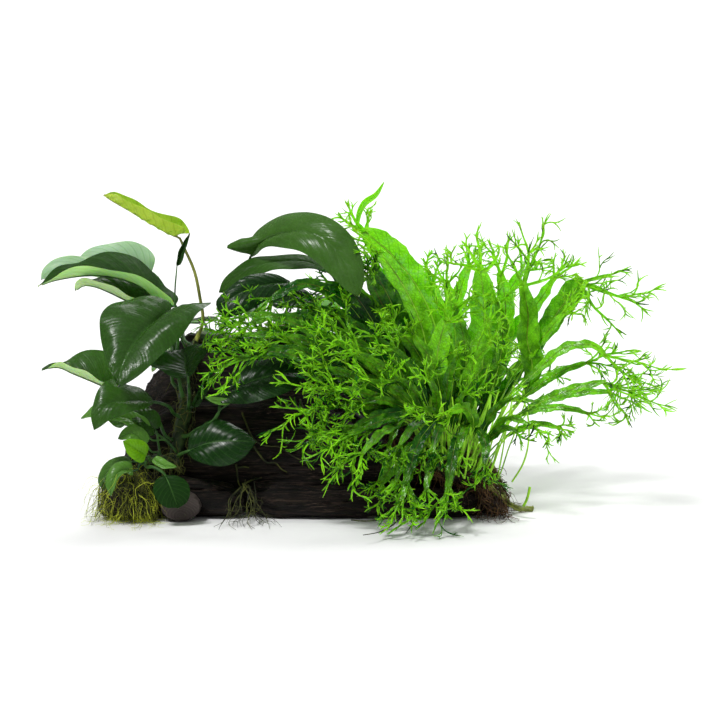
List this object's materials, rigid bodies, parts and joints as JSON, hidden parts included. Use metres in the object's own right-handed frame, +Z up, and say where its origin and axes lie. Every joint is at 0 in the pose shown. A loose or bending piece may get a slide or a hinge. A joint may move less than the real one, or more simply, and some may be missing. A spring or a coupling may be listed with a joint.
{
  "type": "aquarium plants on driftwood",
  "caption": "Dark chunk of driftwood planted with a crested java fern that has forked frond tips and a broad-leaved anubias, standing on its flat underside.",
  "frame": {"origin": "on the flat underside of the driftwood, under the middle of its high block", "axes": "+Z up, +X along the wood from the anubias to the java fern, +Y away from the planted front"},
  "size_m": [0.4092, 0.2106, 0.21],
  "materials": {
    "wet_dark_wood": "dark waterlogged wood, ridged along the grain, with a dull wet sheen",
    "sawn_wood": "paler sawn wood, smooth and damp",
    "anubias_leaf": "leathery dark green leaf, wet and glossy",
    "young_leaf": "new yellow-green leaf, satin",
    "rhizome": "fleshy green-brown creeping stem, satin",
    "roots": "matted fine brown roots and moss",
    "fern_frond": "bright green fern frond, thin, wet and slightly see-through"
  },
  "bodies": {
    "root": {"driftwood_trunk": "wet_dark_wood", "driftwood_lower_limb_left": "wet_dark_wood", "driftwood_lower_limb_right": "wet_dark_wood", "driftwood_sawn_stub": "sawn_wood", "anubias_rhizome": "rhizome", "anubias_side_shoot": "rhizome", "anubias_top_rhizome": "rhizome", "anubias_root_tuft": "roots", "anubias_root_fan": "roots", "anubias_leaf_new_rolled": "young_leaf", "anubias_leaf_new_spear": "anubias_leaf", "anubias_leaf_left_rear": "anubias_leaf", "anubias_leaf_left_pale": "anubias_leaf", "anubias_leaf_left_arched": "anubias_leaf", "anubias_leaf_left_under": "anubias_leaf", "anubias_leaf_front_heart": "anubias_leaf", "anubias_leaf_left_low": "anubias_leaf", "anubias_leaf_left_front": "anubias_leaf", "anubias_leaf_shoot_dark": "anubias_leaf", "anubias_leaf_shoot_yellow": "young_leaf", "anubias_leaf_round": "anubias_leaf", "anubias_leaf_front_low": "anubias_leaf", "anubias_leaf_knee": "anubias_leaf", "anubias_leaf_middle_folded": "anubias_leaf", "anubias_leaf_top_arched": "anubias_leaf", "anubias_leaf_top_left": "anubias_leaf", "anubias_leaf_top_dark": "anubias_leaf", "anubias_leaf_top_small": "anubias_leaf", "anubias_leaf_rear_left": "anubias_leaf", "anubias_leaf_rear_right": "anubias_leaf", "fern_rhizome": "rhizome", "fern_rhizome_front": "rhizome", "fern_rhizome_back": "rhizome", "fern_root_mat": "roots", "fern_root_beard": "roots", "fern_frond_tall_left": "fern_frond", "fern_frond_tall_rear": "fern_frond", "fern_frond_upper_left": "fern_frond", "fern_frond_arch_left_high": "fern_frond", "fern_frond_arch_left_short": "fern_frond", "fern_frond_arch_left_long": "fern_frond", "fern_frond_arch_left_low": "fern_frond", "fern_frond_front_left": "fern_frond", "fern_frond_drooping_left": "fern_frond", "fern_frond_drooping_front": "fern_frond", "fern_frond_drooping_middle": "fern_frond", "fern_frond_folded_front": "fern_frond", "fern_frond_middle": "fern_frond", "fern_frond_upright_broad": "fern_frond", "fern_frond_upright_rear": "fern_frond", "fern_frond_tall_right": "fern_frond", "fern_frond_right_broad": "fern_frond", "fern_frond_right_wavy": "fern_frond", "fern_frond_right_low": "fern_frond", "fern_frond_right_drooping": "fern_frond", "fern_frond_back_left": "fern_frond", "fern_frond_back_middle": "fern_frond", "fern_frond_back_right": "fern_frond", "fern_frond_back_far_right": "fern_frond", "fern_frond_back_drooping": "fern_frond"}
  },
  "joints": []
}
